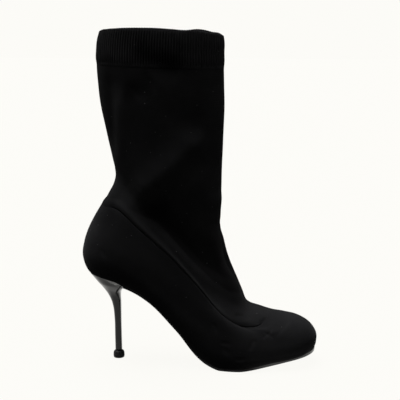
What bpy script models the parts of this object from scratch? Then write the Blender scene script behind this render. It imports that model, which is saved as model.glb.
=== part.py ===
"""Knit sock ankle boot on a pin heel, right shoe: toe towards +X, outer side towards -Y, floor at Z = 0."""

import math
from collections import namedtuple

import bmesh
import bpy
import numpy as np

# Sizes are in millimetres; MM turns them into metres when a mesh is made.
MM = 0.001

# Driving dimensions of the last and the leg
LENGTH = 227.0
BALL_WIDTH = 74.0
SEAT_HEIGHT = 83.6
TOE_HEIGHT = 15.7
COUNTER_RISE = 72.9
THROAT_RISE = 34.8
LEG_BACK_RISE = 165.5
LEG_FRONT_RISE = 265.0
CUFF_STEP = 0.5

# Walls and gaps
KNIT_WALL = 1.6
SHELL_GAP = 0.3
SHELL_WALL = 1.0
INSOLE_GAP = 0.35
SOLE_GAP = 0.3
SOLE_DEPTH = 3.8
SOLE_MARGIN = 1.5
WAIST_DEPTH = 2.9
WAIST_MARGIN = 0.2
TREAD_HALF_LENGTH = 9.0

# Mesh resolution
RING_POINTS = 42
FOOT_SPACING = 5.5
LEG_SPACING = 11.0

# Each section runs round the foot from a back point to a front point. The x columns are shares of LENGTH
# from the heel bulge; the rises are shares of the counter and throat rises in the foot, and of the leg
# rises above. heel_round to toe_round are half widths at fixed places along the section, and radii at its
# two ends, all in shares of half the ball width. follow is the share of the bottom line in the foot, and of
# the topline in the leg.
Section = namedtuple(
    "Section",
    "name back_x back_rise front_x front_rise heel_round heel waist ball toe toe_round follow",
)

FOOT_SECTIONS = [
    Section("feather", 0.059, 0.000, 0.988, 0.000, 0.46, 0.53, 0.46, 0.92, 0.68, 0.60, 1.00),
    Section("turn", 0.021, 0.108, 0.998, 0.135, 0.60, 0.65, 0.61, 0.99, 0.78, 0.68, 0.86),
    Section("bulge", 0.000, 0.294, 1.000, 0.355, 0.66, 0.73, 0.72, 1.00, 0.81, 0.80, 0.68),
    Section("wall", 0.007, 0.472, 0.976, 0.610, 0.64, 0.73, 0.74, 0.97, 0.78, 0.86, 0.50),
    Section("quarter", 0.026, 0.650, 0.927, 0.815, 0.60, 0.69, 0.75, 0.93, 0.75, 0.90, 0.32),
    Section("vamp", 0.054, 0.822, 0.868, 0.918, 0.54, 0.64, 0.74, 0.88, 0.74, 0.90, 0.15),
    Section("topline", 0.088, 1.000, 0.806, 1.000, 0.46, 0.58, 0.73, 0.84, 0.73, 0.88, 0.00),
]

LEG_SECTIONS = [
    Section("rim", 0.112, 0.063, 0.747, 0.018, 0.42, 0.53, 0.70, 0.78, 0.65, 0.75, 0.72),
    Section("fold", 0.132, 0.112, 0.705, 0.037, 0.39, 0.49, 0.69, 0.74, 0.56, 0.55, 0.45),
    Section("throat", 0.142, 0.160, 0.681, 0.077, 0.37, 0.46, 0.68, 0.71, 0.51, 0.45, 0.22),
    Section("instep", 0.141, 0.209, 0.653, 0.138, 0.36, 0.45, 0.68, 0.70, 0.47, 0.38, 0.08),
    Section("bend", 0.132, 0.269, 0.610, 0.240, 0.36, 0.45, 0.69, 0.69, 0.46, 0.36, 0.00),
    Section("ankle", 0.119, 0.344, 0.588, 0.330, 0.37, 0.45, 0.71, 0.70, 0.46, 0.36, 0.00),
    Section("low_leg", 0.104, 0.438, 0.592, 0.436, 0.37, 0.46, 0.73, 0.73, 0.48, 0.37, 0.00),
    Section("leg", 0.086, 0.553, 0.597, 0.576, 0.38, 0.47, 0.75, 0.75, 0.50, 0.38, 0.00),
    Section("high_leg", 0.073, 0.692, 0.605, 0.764, 0.38, 0.48, 0.77, 0.77, 0.51, 0.38, 0.00),
    Section("cuff", 0.068, 0.807, 0.602, 0.889, 0.38, 0.48, 0.77, 0.77, 0.51, 0.38, 0.00),
    Section("cuff_middle", 0.070, 0.885, 0.600, 0.942, 0.38, 0.48, 0.77, 0.77, 0.51, 0.38, 0.00),
    Section("cuff_top", 0.075, 0.952, 0.601, 0.976, 0.38, 0.48, 0.77, 0.77, 0.51, 0.38, 0.00),
    Section("collar", 0.085, 1.000, 0.597, 1.000, 0.37, 0.48, 0.77, 0.76, 0.50, 0.37, 0.00),
]
SECTIONS = FOOT_SECTIONS + LEG_SECTIONS
TOPLINE = len(FOOT_SECTIONS) - 1
CUFF = [section.name for section in SECTIONS].index("cuff")
COLLAR = len(SECTIONS) - 1

# Places along a section, from back to front, where the six width columns hold
WIDTH_PLACES = [0.0, 0.10, 0.36, 0.66, 0.88, 1.0]

# The knit's bottom edge in side view: share of LENGTH, height over the floor
BottomPoint = namedtuple("BottomPoint", "name x height")
BOTTOM_LINE = [
    BottomPoint("seat_back", 0.059, SEAT_HEIGHT),
    BottomPoint("seat_middle", 0.120, 81.5),
    BottomPoint("breast", 0.183, 79.2),
    BottomPoint("shank", 0.297, 63.5),
    BottomPoint("arch", 0.400, 39.8),
    BottomPoint("waist_front", 0.505, 12.6),
    BottomPoint("tread_back", 0.597, 3.7),
    BottomPoint("tread_front", 0.676, 3.7),
    BottomPoint("toe_bend", 0.810, 7.9),
    BottomPoint("toe", 0.988, TOE_HEIGHT),
]
TREAD_X = 0.636
WAIST_END = 0.43
FOREPART_START = 0.53

# The shell's top edge: place along its section, height over the straight line from counter to throat
EdgePoint = namedtuple("EdgePoint", "place rise")
TOPLINE_EDGE = [
    EdgePoint(0.00, 0.0),
    EdgePoint(0.10, 8.4),
    EdgePoint(0.23, 4.7),
    EdgePoint(0.43, -2.5),
    EdgePoint(0.59, -13.6),
    EdgePoint(0.70, -24.6),
    EdgePoint(0.81, -26.5),
    EdgePoint(0.88, -21.2),
    EdgePoint(0.94, -14.0),
    EdgePoint(1.00, 0.0),
]

# The collar's rim: place along its section, height over the straight line from back to front
COLLAR_EDGE = [
    EdgePoint(0.00, 0.0),
    EdgePoint(0.10, 2.0),
    EdgePoint(0.30, 4.2),
    EdgePoint(0.50, 4.2),
    EdgePoint(0.68, 4.0),
    EdgePoint(0.84, 6.2),
    EdgePoint(1.00, 1.6),
]

# Sideways swing of the last's centre line: share of LENGTH, offset towards the inner side
SwingPoint = namedtuple("SwingPoint", "x offset")
SWING = [
    SwingPoint(0.00, 0.2),
    SwingPoint(0.30, -2.6),
    SwingPoint(0.50, -2.4),
    SwingPoint(0.66, -0.6),
    SwingPoint(0.84, 2.8),
    SwingPoint(1.00, 5.6),
]

# Heel, from the cup under the seat down to the pin. square is the exponent of the front half of its
# outline, and follow the share of the bottom line's bend that the row takes up.
HeelRow = namedtuple("HeelRow", "name back_x back_z front_x front_z half_width square follow")
HEEL_ROWS = [
    HeelRow("seat", -101.4, 82.4, -71.6, 77.9, 20.6, 7.0, 1.0),
    HeelRow("lip", -100.4, 80.7, -71.8, 75.8, 19.6, 6.0, 1.0),
    HeelRow("cup", -97.4, 76.2, -75.2, 71.8, 14.6, 3.4, 0.5),
    HeelRow("cup_low", -93.6, 70.7, -77.8, 68.2, 9.4, 2.4, 0.0),
    HeelRow("neck_top", -89.8, 64.7, -78.4, 63.4, 6.2, 2.0, 0.0),
    HeelRow("neck", -87.0, 58.6, -78.3, 58.2, 4.6, 2.0, 0.0),
    HeelRow("neck_low", -85.4, 52.4, -78.3, 52.2, 3.7, 2.0, 0.0),
    HeelRow("pin_top", -84.3, 40.0, -78.2, 40.0, 3.1, 2.0, 0.0),
    HeelRow("pin", -83.8, 22.0, -78.0, 22.0, 2.9, 2.0, 0.0),
    HeelRow("pin_foot", -83.7, 7.6, -77.9, 7.6, 2.9, 2.0, 0.0),
]
HEEL_POINTS = 28
TIP_X = -80.8
TIP_POINTS = 32

# Turned profile of the heel tip
TipPoint = namedtuple("TipPoint", "radius z")
TIP_PROFILE = [
    TipPoint(4.7, 0.0),
    TipPoint(5.2, 0.7),
    TipPoint(5.35, 2.4),
    TipPoint(5.2, 5.2),
    TipPoint(4.6, 6.6),
    TipPoint(3.6, 7.3),
]

MATERIALS = {
    "sock_upper": ((0.012, 0.012, 0.013), 0.85, 0.0),
    "foot_shell": ((0.014, 0.014, 0.015), 0.70, 0.0),
    "insole": ((0.030, 0.029, 0.028), 0.75, 0.0),
    "outsole": ((0.016, 0.016, 0.017), 0.45, 0.0),
    "heel": ((0.010, 0.010, 0.011), 0.18, 0.0),
    "heel_tip": ((0.014, 0.014, 0.015), 0.40, 0.0),
}


def clear_scene():
    for obj in list(bpy.data.objects):
        bpy.data.objects.remove(obj)


def smooth(knots, values, at):
    """Cubic through the values at the knots, with the slope at each knot taken from its two neighbours."""
    knots = np.asarray(knots, float)
    values = np.asarray(values, float)
    at = np.asarray(at, float)
    step = np.diff(knots)
    slope = np.diff(values, axis=0) / (step[:, None] if values.ndim > 1 else step)
    tangent = np.empty_like(values)
    tangent[0] = slope[0]
    tangent[-1] = slope[-1]
    share = step[:-1] / (step[:-1] + step[1:])
    share = share[:, None] if values.ndim > 1 else share
    tangent[1:-1] = slope[:-1] * (1 - share) + slope[1:] * share
    i = np.clip(np.searchsorted(knots, at, side="right") - 1, 0, len(step) - 1)
    t = (at - knots[i]) / step[i]
    span = step[i]
    if values.ndim > 1:
        t = t[..., None]
        span = span[..., None]
    return (
        values[i] * (2 * t**3 - 3 * t**2 + 1)
        + tangent[i] * span * (t**3 - 2 * t**2 + t)
        + values[i + 1] * (3 * t**2 - 2 * t**3)
        + tangent[i + 1] * span * (t**3 - t**2)
    )


def along(share):
    """x of a share of the length, with the middle of the shoe at x = 0."""
    return (share - 0.5) * LENGTH


def bottom_height(x):
    """Height of the knit's bottom edge over the floor."""
    return smooth([along(p.x) for p in BOTTOM_LINE], [p.height for p in BOTTOM_LINE], x)


def edge_rise(edge, place):
    return smooth([p.place for p in edge], [p.rise for p in edge], place)


def swing(x):
    return smooth([along(p.x) for p in SWING], [p.offset for p in SWING], x)


def section_rows():
    """One row of sizes per section, in millimetres, and the knots that the rows are blended over."""
    rows = []
    for number, part in enumerate(SECTIONS):
        if number <= TOPLINE:
            back_z = SEAT_HEIGHT + part.back_rise * COUNTER_RISE
            front_z = TOE_HEIGHT + part.front_rise * THROAT_RISE
            shares = [part.follow, 1.0 - part.follow]
        else:
            back_z = SEAT_HEIGHT + COUNTER_RISE + part.back_rise * LEG_BACK_RISE
            front_z = TOE_HEIGHT + THROAT_RISE + part.front_rise * LEG_FRONT_RISE
            shares = [0.0, part.follow]
        widths = [part.heel_round, part.heel, part.waist, part.ball, part.toe, part.toe_round]
        widths = [share * BALL_WIDTH / 2 for share in widths]
        rows.append([along(part.back_x), back_z, along(part.front_x), front_z, *widths, *shares])
    rows = np.array(rows)
    steps = np.diff(rows[:, :4], axis=0)
    steps = np.hypot(steps[:, 0], steps[:, 1]) + np.hypot(steps[:, 2], steps[:, 3])
    return np.concatenate([[0.0], np.cumsum(steps / 2)]), rows


KNOTS, ROWS = section_rows()


def surface(level, turn):
    """Points of the knit's outer face. level runs from the feather edge up to the collar, turn from 0 at the
    back over the outer side to 0.5 at the front and over the inner side to 1."""
    level, turn = np.broadcast_arrays(np.asarray(level, float), np.asarray(turn, float))
    row = smooth(KNOTS, ROWS, level)
    back_x, back_z, front_x, front_z = (row[..., i] for i in range(4))
    sole_share, top_share = row[..., 10], row[..., 11]
    angle = 2 * math.pi * turn
    place = (1 - np.cos(angle)) / 2
    x = back_x + place * (front_x - back_x)
    feather_x = ROWS[0, 0] + place * (ROWS[0, 2] - ROWS[0, 0])
    feather_z = ROWS[0, 1] + place * (ROWS[0, 3] - ROWS[0, 1])
    z = back_z + place * (front_z - back_z)
    z = z + sole_share * (bottom_height(feather_x) - feather_z) + top_share * edge_rise(TOPLINE_EDGE, place)
    cuff_share = np.clip((level - KNOTS[CUFF]) / (KNOTS[COLLAR] - KNOTS[CUFF]), 0, 1)
    z = z + cuff_share * edge_rise(COLLAR_EDGE, place)
    fullness = fullness_at(row, place)
    in_foot = np.clip(1 - (level - KNOTS[TOPLINE]) / (KNOTS[CUFF] - KNOTS[TOPLINE]), 0, 1)
    y = swing(x) * in_foot - fullness * np.sin(angle)
    return np.stack([x, y, z], axis=-1)


def fullness_at(row, place):
    """Half width over the sine of the angle round the section, blended between the six width columns."""
    reach = np.hypot(row[..., 2] - row[..., 0], row[..., 3] - row[..., 1])
    columns = []
    for column, spot in enumerate(WIDTH_PLACES):
        size = row[..., 4 + column]
        if spot in (0.0, 1.0):
            columns.append(np.sqrt(size * reach / 2))
        else:
            columns.append(size / (2 * math.sqrt(spot * (1 - spot))))
    shares = smooth(WIDTH_PLACES, np.eye(len(WIDTH_PLACES)), place)
    return (np.stack(columns, axis=-1) * shares).sum(axis=-1)


def normals(level, turn):
    """Outward unit normals of the knit's outer face."""
    step_level, step_turn = 0.2, 0.0005
    across = surface(level, turn + step_turn) - surface(level, turn - step_turn)
    low = np.clip(level - step_level, 0, KNOTS[COLLAR])
    high = np.clip(level + step_level, 0, KNOTS[COLLAR])
    up = surface(high, turn) - surface(low, turn)
    normal = np.cross(across, up)
    return normal / np.linalg.norm(normal, axis=-1, keepdims=True)


def ring(level, offset, turns):
    """Closed loop of points at one level, moved out along the normals."""
    level = np.full(len(turns), float(level))
    return surface(level, turns) + offset * normals(level, turns)


def levels_between(first, last):
    """Levels of the mesh rows from one section to another, each section included."""
    levels = [KNOTS[first]]
    for number in range(first, last):
        spacing = FOOT_SPACING if number < TOPLINE else LEG_SPACING
        count = max(1, round((KNOTS[number + 1] - KNOTS[number]) / spacing))
        levels += list(np.linspace(KNOTS[number], KNOTS[number + 1], count + 1)[1:])
    return levels


def even_turns():
    return np.arange(RING_POINTS) / RING_POINTS


def cuff_offset(level):
    """The ribbed cuff stands a small step out from the leg."""
    return CUFF_STEP if level > KNOTS[CUFF] + 1e-6 else 0.0


def finish(name, bm):
    bmesh.ops.triangulate(bm, faces=bm.faces, quad_method="FIXED")
    bmesh.ops.recalc_face_normals(bm, faces=bm.faces)
    mesh = bpy.data.meshes.new(name)
    bmesh.ops.scale(bm, vec=(MM, MM, MM), verts=bm.verts)
    bm.to_mesh(mesh)
    bm.free()
    mesh.shade_smooth()
    colour, roughness, metallic = MATERIALS[name]
    material = bpy.data.materials.new(name)
    material.use_nodes = True
    shader = material.node_tree.nodes["Principled BSDF"]
    shader.inputs["Base Color"].default_value = (*colour, 1.0)
    shader.inputs["Roughness"].default_value = roughness
    shader.inputs["Metallic"].default_value = metallic
    mesh.materials.append(material)
    obj = bpy.data.objects.new(name, mesh)
    bpy.context.scene.collection.objects.link(obj)
    return obj


def loft(rings, wrap):
    """Skin over loops of equal count, each to the next, and the last to the first where wrap is set."""
    bm = bmesh.new()
    loops = [[bm.verts.new(point) for point in loop] for loop in rings]
    pairs = list(zip(loops, loops[1:] + loops[:1]))
    for lower, upper in pairs if wrap else pairs[:-1]:
        for i in range(len(lower)):
            bm.faces.new((lower[i - 1], lower[i], upper[i], upper[i - 1]))
    return bm, loops


def cap_across(bm, loop):
    """Closes a loop with strips from its outer to its inner side, so that the cap bends along its length."""
    count = len(loop)
    for i in range(count // 2):
        corners = [loop[i], loop[i + 1], loop[(count - i - 1) % count], loop[(count - i) % count]]
        bm.faces.new(list(dict.fromkeys(corners)))


def build_sock_upper():
    turns = even_turns()
    levels = levels_between(0, COLLAR)
    outer = [ring(level, cuff_offset(level), turns) for level in levels]
    inner = [ring(level, -KNIT_WALL, turns) for level in levels]
    bm, _ = loft(outer + inner[::-1], wrap=True)
    finish("sock_upper", bm)


def build_foot_shell():
    turns = even_turns()
    levels = levels_between(0, TOPLINE)
    inner = [ring(level, SHELL_GAP, turns) for level in levels]
    outer = [ring(level, SHELL_GAP + SHELL_WALL, turns) for level in levels]
    bm, _ = loft(inner + outer[::-1], wrap=True)
    finish("foot_shell", bm)


def build_insole():
    turns = even_turns()
    bottom = ring(KNOTS[1] * 0.30, -KNIT_WALL - INSOLE_GAP, turns)
    top = ring(KNOTS[1] * 0.62, -KNIT_WALL - INSOLE_GAP, turns)
    bm, loops = loft([bottom, top], wrap=False)
    cap_across(bm, loops[0])
    cap_across(bm, loops[1])
    finish("insole", bm)


def sole_turns():
    """Turns of the sole's outline from the breast of the heel forward, with exact ends of the flat tread."""
    back, front = ROWS[0, 0], ROWS[0, 2]
    spots = [along(TREAD_X) - TREAD_HALF_LENGTH, along(TREAD_X) + TREAD_HALF_LENGTH]
    breast = HEEL_ROWS[0].front_x + 0.3
    forced = [math.acos(1 - 2 * (x - back) / (front - back)) / (2 * math.pi) for x in [breast, *spots]]
    free = [turn for turn in np.linspace(forced[0], 0.5, 30) if min(abs(turn - f) for f in forced) > 0.006]
    return np.array(sorted(forced + free + [0.5]))[: len(forced) + len(free)]


def rim_height(turns):
    """Lowest height of the upper's bottom rim, knit and shell together."""
    offsets = (-KNIT_WALL, 0.0, SHELL_GAP, SHELL_GAP + SHELL_WALL)
    return np.min([ring(0.0, offset, turns)[:, 2] for offset in offsets], axis=0)


def sole_outline(inset, depth):
    """Loop of the sole in plan, over the outer side to the toe and back over the inner side. inset is taken
    off its margin; depth runs from 0 on the sole's top to 1 on its bottom."""
    turns = sole_turns()
    turns = np.concatenate([turns, 1 - turns[-2::-1]])
    points = surface(np.zeros(len(turns)), turns)
    out = normals(np.zeros(len(turns)), turns)
    out[:, 2] = 0
    out /= np.linalg.norm(out, axis=1, keepdims=True)
    fore = np.clip((points[:, 0] - along(WAIST_END)) / (along(FOREPART_START) - along(WAIST_END)), 0, 1)
    margin = WAIST_MARGIN + fore * (SOLE_MARGIN - WAIST_MARGIN) - inset
    top = rim_height(turns) - SOLE_GAP
    bottom = bottom_height(points[:, 0]) - WAIST_DEPTH - fore * (SOLE_DEPTH - WAIST_DEPTH)
    bottom = np.maximum(bottom, 0.0)
    points[:, :2] += margin[:, None] * out[:, :2]
    points[:, 2] = top + depth * (bottom - top)
    return points


def build_outsole():
    rows = [(0.5, 0.0), (0.0, 0.18), (0.0, 0.75), (1.2, 1.0)]
    bm, loops = loft([sole_outline(inset, depth) for inset, depth in rows], wrap=False)
    for loop in (loops[0], loops[-1]):
        count = len(loop)
        for i in range(count // 2):
            corners = [loop[i], loop[i + 1], loop[count - 2 - i], loop[count - 1 - i]]
            bm.faces.new(list(dict.fromkeys(corners)))
    finish("outsole", bm)


def heel_loop(row):
    """Outline of the heel at one row: round behind, squarer in front, in a plane tilted along the seat."""
    middle = row.front_x - min(row.half_width, (row.front_x - row.back_x) / 2)
    points = []
    for i in range(HEEL_POINTS):
        angle = 2 * math.pi * i / HEEL_POINTS
        power = 2 / row.square if math.cos(angle) > 0 else 1.0
        reach = row.front_x - middle if math.cos(angle) > 0 else middle - row.back_x
        x = middle + reach * math.copysign(abs(math.cos(angle)) ** power, math.cos(angle))
        y = row.half_width * math.copysign(abs(math.sin(angle)) ** power, math.sin(angle))
        share = (x - row.back_x) / (row.front_x - row.back_x)
        chord = bottom_height(row.back_x) * (1 - share) + bottom_height(row.front_x) * share
        bend = row.follow * (bottom_height(x) - chord)
        points.append((x, y, row.back_z + share * (row.front_z - row.back_z) + bend))
    return points


def build_heel():
    bm, loops = loft([heel_loop(row) for row in HEEL_ROWS], wrap=False)
    bm.faces.new(loops[0])
    bm.faces.new(loops[-1])
    finish("heel", bm)


def build_heel_tip():
    angles = np.arange(TIP_POINTS) * 2 * math.pi / TIP_POINTS
    rings = []
    for point in TIP_PROFILE:
        x = TIP_X + point.radius * np.cos(angles)
        y = point.radius * np.sin(angles)
        rings.append(np.stack([x, y, np.full(TIP_POINTS, point.z)], axis=-1))
    bm, loops = loft(rings, wrap=False)
    bm.faces.new(loops[0])
    bm.faces.new(loops[-1])
    finish("heel_tip", bm)


clear_scene()
build_sock_upper()
build_foot_shell()
build_insole()
build_outsole()
build_heel()
build_heel_tip()
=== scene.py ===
"""Dresses the boot's frame: knit sock, ribbed cuff, foot cover, sole, insole, pin heel and its tip, and a stage."""

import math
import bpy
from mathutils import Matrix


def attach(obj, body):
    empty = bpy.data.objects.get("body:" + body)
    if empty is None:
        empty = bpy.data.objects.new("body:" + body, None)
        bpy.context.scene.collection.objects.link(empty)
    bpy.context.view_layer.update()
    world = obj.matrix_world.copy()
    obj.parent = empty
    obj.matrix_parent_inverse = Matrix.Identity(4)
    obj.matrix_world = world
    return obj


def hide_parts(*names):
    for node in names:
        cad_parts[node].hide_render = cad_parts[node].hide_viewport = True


bl_info = {
    "name": "Knit sock boot",
    "version": (1, 0, 0),
    "blender": (4, 5, 0),
    "location": "View3D > Sidebar > Boot",
    "description": "Builds the looks of a knit sock boot with a ribbed cuff and a pin heel",
    "category": "Object",
}

from collections import namedtuple
from functools import partial

import bmesh
import bpy
import numpy as np
from mathutils import Vector

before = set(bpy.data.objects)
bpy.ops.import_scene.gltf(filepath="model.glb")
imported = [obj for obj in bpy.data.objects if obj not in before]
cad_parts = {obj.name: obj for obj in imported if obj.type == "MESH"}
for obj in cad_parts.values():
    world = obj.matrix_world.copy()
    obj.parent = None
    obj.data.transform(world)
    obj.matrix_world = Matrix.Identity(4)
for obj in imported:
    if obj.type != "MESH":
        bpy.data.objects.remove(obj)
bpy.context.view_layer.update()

# Sizes are in millimetres; MM turns them into metres when a mesh is made.
MM = 0.001

# Driving dimensions of the last and the leg
LENGTH = 227.0
BALL_WIDTH = 74.0
SEAT_HEIGHT = 83.6
TOE_HEIGHT = 15.7
COUNTER_RISE = 72.9
THROAT_RISE = 34.8
LEG_BACK_RISE = 165.5
LEG_FRONT_RISE = 265.0
CUFF_STEP = 0.5
KNIT_WALL = 1.6
SHELL_GAP = 0.3
SHELL_WALL = 1.0
SHELL_OUTSIDE = SHELL_GAP + SHELL_WALL
INSOLE_GAP = 0.35
SOLE_GAP = 0.3
SOLE_DEPTH = 3.8
SOLE_MARGIN = 1.5
WAIST_DEPTH = 2.9
WAIST_MARGIN = 0.2

# Fineness of the meshes
SOCK_COLUMNS = 280
COLUMNS_PER_RIB = 6
COVER_COLUMNS = 360
SOLE_COLUMNS = 220
INSOLE_COLUMNS = 140
HEEL_COLUMNS = 96
TIP_COLUMNS = 64
ARC_STEPS = 720
MERGE_DISTANCE = 2e-7

# The knit: stitches of the foot cover to those of the sock, round it and upwards, and the shape of a rib
COVER_WALES, COVER_COURSES = 1.6, 1.5
RIB_SHARPNESS = 2.4

# The cuff starts this far under its section and swells out over the heights of CUFF_TAPER; its rim is a half round
CUFF_OVERLAP = 0.5
CUFF_FOOT = 0.05
CUFF_TAPER = (1.4, 9.0)
RIB_SWELL = 0.15
RIM_DROP = 1.3
RIM_STEPS = 6

# Ribs grow over this height from the cuff's foot, are weaker inside, and end in teeth: lift in a groove, and more on a
# crown. The plain form lies at RIB_LEVEL between groove and crown, and rim and foot get painted shade.
RIB_GROWTH = 5.0
RIB_LEVEL = 0.75
INNER_RIB = 0.5
TOOTH_LIFT = (0.75, 0.35)
RIM_PAINTED_SHADE = 1.4
FOOT_PAINTED_SHADE = 0.5

# The cover's rolled top edge: its height, and the share of the wall that is left on top
ROLL_HEIGHT = 1.8
ROLL_TOP = 0.25
ROLL_STEPS = 5

# Constants of the materials
CLOTH_SPECULAR = 0.004
SHEEN_ROUGHNESS = 0.45
COAT_ROUGHNESS = 0.06


def table(columns, *rows):
    """Rows of a table with named columns."""
    row_type = namedtuple("Row", columns)
    return [row_type(*row) for row in rows]


# Each section runs round the boot from a back point to a front point. Those up to the topline are the foot's, the
# others the leg's. The x columns are shares of LENGTH from the heel bulge; the rises are shares of the counter and
# throat rises in the foot, and of the leg rises above. heel_round to toe_round are half widths at fixed places along
# the section, and radii at its two ends, all in shares of half the ball width. follow is the share of the bottom line
# in the foot, and of the topline in the leg.
SECTIONS = table(
    "name back_x back_rise front_x front_rise heel_round heel waist ball toe toe_round follow",
    ("feather", 0.059, 0.000, 0.988, 0.000, 0.46, 0.53, 0.46, 0.92, 0.68, 0.60, 1.00),
    ("turn", 0.021, 0.108, 0.998, 0.135, 0.60, 0.65, 0.61, 0.99, 0.78, 0.68, 0.86),
    ("bulge", 0.000, 0.294, 1.000, 0.355, 0.66, 0.73, 0.72, 1.00, 0.81, 0.80, 0.68),
    ("wall", 0.007, 0.472, 0.976, 0.610, 0.64, 0.73, 0.74, 0.97, 0.78, 0.86, 0.50),
    ("quarter", 0.026, 0.650, 0.927, 0.815, 0.60, 0.69, 0.75, 0.93, 0.75, 0.90, 0.32),
    ("vamp", 0.054, 0.822, 0.868, 0.918, 0.54, 0.64, 0.74, 0.88, 0.74, 0.90, 0.15),
    ("topline", 0.088, 1.000, 0.806, 1.000, 0.46, 0.58, 0.73, 0.84, 0.73, 0.88, 0.00),
    ("rim", 0.112, 0.063, 0.747, 0.018, 0.42, 0.53, 0.70, 0.78, 0.65, 0.75, 0.72),
    ("fold", 0.132, 0.112, 0.705, 0.037, 0.39, 0.49, 0.69, 0.74, 0.56, 0.55, 0.45),
    ("throat", 0.142, 0.160, 0.681, 0.077, 0.37, 0.46, 0.68, 0.71, 0.51, 0.45, 0.22),
    ("instep", 0.141, 0.209, 0.653, 0.138, 0.36, 0.45, 0.68, 0.70, 0.47, 0.38, 0.08),
    ("bend", 0.132, 0.269, 0.610, 0.240, 0.36, 0.45, 0.69, 0.69, 0.46, 0.36, 0.00),
    ("ankle", 0.119, 0.344, 0.588, 0.330, 0.37, 0.45, 0.71, 0.70, 0.46, 0.36, 0.00),
    ("low_leg", 0.104, 0.438, 0.592, 0.436, 0.37, 0.46, 0.73, 0.73, 0.48, 0.37, 0.00),
    ("leg", 0.086, 0.553, 0.597, 0.576, 0.38, 0.47, 0.75, 0.75, 0.50, 0.38, 0.00),
    ("high_leg", 0.073, 0.692, 0.605, 0.764, 0.38, 0.48, 0.77, 0.77, 0.51, 0.38, 0.00),
    ("cuff", 0.068, 0.807, 0.602, 0.889, 0.38, 0.48, 0.77, 0.77, 0.51, 0.38, 0.00),
    ("cuff_middle", 0.070, 0.885, 0.600, 0.942, 0.38, 0.48, 0.77, 0.77, 0.51, 0.38, 0.00),
    ("cuff_top", 0.075, 0.952, 0.601, 0.976, 0.38, 0.48, 0.77, 0.77, 0.51, 0.38, 0.00),
    ("collar", 0.085, 1.000, 0.597, 1.000, 0.37, 0.48, 0.77, 0.76, 0.50, 0.37, 0.00),
)
SECTION_NAMES = [section.name for section in SECTIONS]
TOPLINE = SECTION_NAMES.index("topline")
CUFF = SECTION_NAMES.index("cuff")
COLLAR = SECTION_NAMES.index("collar")

# Places along a section, from back to front, where the six width columns hold
WIDTH_PLACES = [0.0, 0.10, 0.36, 0.66, 0.88, 1.0]

# The knit's bottom edge in side view: share of LENGTH, height over the floor
BOTTOM_LINE = table(
    "name x height",
    ("seat_back", 0.059, SEAT_HEIGHT), ("seat_middle", 0.120, 81.5), ("breast", 0.183, 79.2),
    ("shank", 0.297, 63.9), ("arch", 0.400, 39.0), ("waist_front", 0.505, 13.5),
    ("tread_back", 0.597, 3.7), ("tread_front", 0.676, 3.7), ("toe_bend", 0.810, 7.9),
    ("toe", 0.988, TOE_HEIGHT),
)
WAIST_END = 0.43
FOREPART_START = 0.53

# The cover's top edge: place along its section, height over the straight line from counter to throat
TOPLINE_EDGE = table(
    "place rise",
    (0.00, 0.0), (0.10, 8.4), (0.23, 4.7), (0.43, -2.5), (0.59, -13.6), (0.70, -24.6), (0.81, -26.5),
    (0.88, -21.2), (0.94, -14.0), (1.00, 0.0),
)

# The collar's rim: place along its section, height over the straight line from back to front
COLLAR_EDGE = table(
    "place rise",
    (0.00, -0.4), (0.04, 1.8), (0.10, 2.8), (0.30, 4.5), (0.44, 5.0), (0.54, 4.8), (0.68, 4.7),
    (0.78, 6.4), (0.84, 6.0), (0.905, 4.6), (0.96, 4.1), (1.00, 2.0),
)

# Sideways swing of the last's centre line: share of LENGTH, offset towards the inner side
SWING = table(
    "x offset",
    (0.00, 0.2), (0.30, -2.6), (0.50, -2.4), (0.66, -0.6), (0.84, 2.8), (1.00, 5.6),
)

# Heel, from the cup under the seat down to the pin. square is the exponent of the front half of its
# outline, and follow the share of the bottom line's bend that the row takes up.
HEEL_ROWS = table(
    "name back_x back_z front_x front_z half_width square follow",
    ("seat", -102.6, 82.4, -71.6, 77.9, 21.4, 7.0, 1.0),
    ("lip", -101.2, 80.2, -71.8, 75.8, 19.4, 6.0, 1.0),
    ("cup", -97.9, 76.2, -75.2, 71.8, 15.0, 4.2, 0.5),
    ("cup_low", -93.9, 70.7, -77.6, 68.2, 10.6, 3.6, 0.0),
    ("neck_top", -90.2, 64.7, -78.2, 63.4, 6.8, 3.2, 0.0),
    ("neck", -87.4, 58.6, -78.0, 58.2, 5.0, 2.8, 0.0),
    ("neck_low", -85.8, 52.4, -78.0, 52.2, 4.0, 2.5, 0.0),
    ("pin_top", -84.6, 40.0, -78.0, 40.0, 3.3, 2.3, 0.0),
    ("pin", -84.35, 22.0, -77.8, 22.0, 3.1, 2.0, 0.0),
    ("pin_foot", -84.2, 7.6, -77.6, 7.6, 3.1, 2.0, 0.0),
)
BREAST_X = HEEL_ROWS[0].front_x - 0.5
PIN_BLUNTNESS = 0.16
PIN_SQUARES = (3.0, 2.2)

# The heel's thin rim climbs the cover's lower edge at the back: share of the way from the back to the middle of
# the front, turn of the cover there, height climbed. It leaves the cover over the shares of RIM_END.
HEEL_RIM = table(
    "share turn climb",
    (0.00, 0.000, 4.8), (0.25, 0.050, 6.8), (0.50, 0.083, 6.5), (0.60, 0.111, 4.6), (0.70, 0.116, 3.2),
    (0.80, 0.1185, 1.2), (1.00, 0.120, 0.0),
)
RIM_END = (0.86, 0.74)

# Turned profile of the heel tip, from the middle of its flat end to the middle of its top
TIP_X = -80.7
TIP_PROFILE = table(
    "radius z",
    (0.0, 0.0), (4.55, 0.0), (4.88, 0.08), (5.15, 0.35), (5.36, 0.8), (5.5, 1.6), (5.52, 2.6),
    (5.46, 4.0), (5.3, 5.3), (4.98, 6.2), (4.5, 6.8), (3.7, 7.2), (0.0, 7.3),
)

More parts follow.
